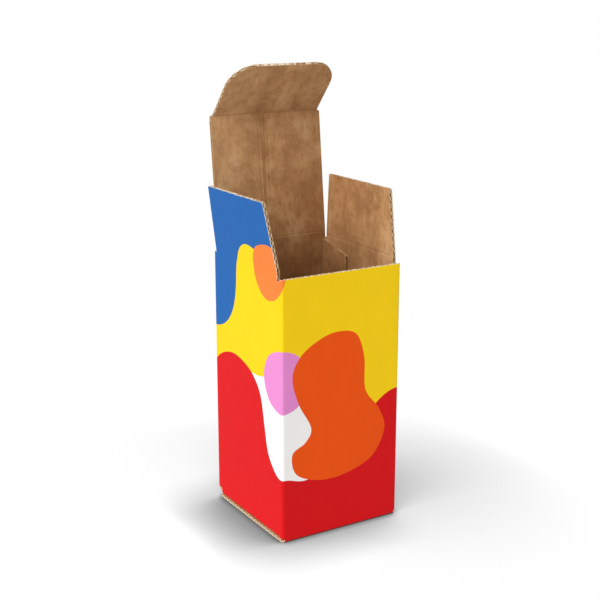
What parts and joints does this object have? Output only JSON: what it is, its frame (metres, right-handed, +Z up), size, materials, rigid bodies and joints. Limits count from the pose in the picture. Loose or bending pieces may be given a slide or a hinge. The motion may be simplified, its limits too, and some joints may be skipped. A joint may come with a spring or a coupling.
{
  "type": "mailer box",
  "caption": "Tall corrugated mailer box, open at the top, with a hinged lid and its tuck flap, side dust flaps and a closed layered bottom.",
  "frame": {"origin": "middle of the underside of the box's floor panel, on the surface it stands on", "axes": "+Z up, -Y towards the front panel that the tuck closes behind, +X to the right seen from the front"},
  "size_m": [0.0691, 0.0702, 0.2149],
  "materials": {
    "printed_board": "matt offset print on white-topped corrugated board",
    "kraft_board": "bare brown kraft liner"
  },
  "bodies": {
    "box": {"box_body": "printed_board"},
    "lid": {"lid_panel": "kraft_board"},
    "tuck": {"tuck_flap": "kraft_board"},
    "left_dust": {"left_dust_flap": "printed_board"},
    "right_dust": {"right_dust_flap": "kraft_board"}
  },
  "joints": [
    {"name": "lid_hinge", "type": "hinge", "parent": "box", "child": "lid", "pos_m": [0, 0.0312, 0.12992], "axis": [1, 0, 0], "range_deg": [-84, 96]},
    {"name": "tuck_fold", "type": "hinge", "parent": "lid", "child": "tuck", "pos_m": [0, 0.03752, 0.19009], "axis": [1, 0, 0], "range_deg": [-47, 43]},
    {"name": "left_dust_hinge", "type": "hinge", "parent": "box", "child": "left_dust", "pos_m": [-0.0312, 0, 0.12802], "axis": [0, 1, 0], "range_deg": [-83, 97]},
    {"name": "right_dust_hinge", "type": "hinge", "parent": "box", "child": "right_dust", "pos_m": [0.0312, 0, 0.12802], "axis": [0, -1, 0], "range_deg": [-87.5, 92.5]}
  ]
}
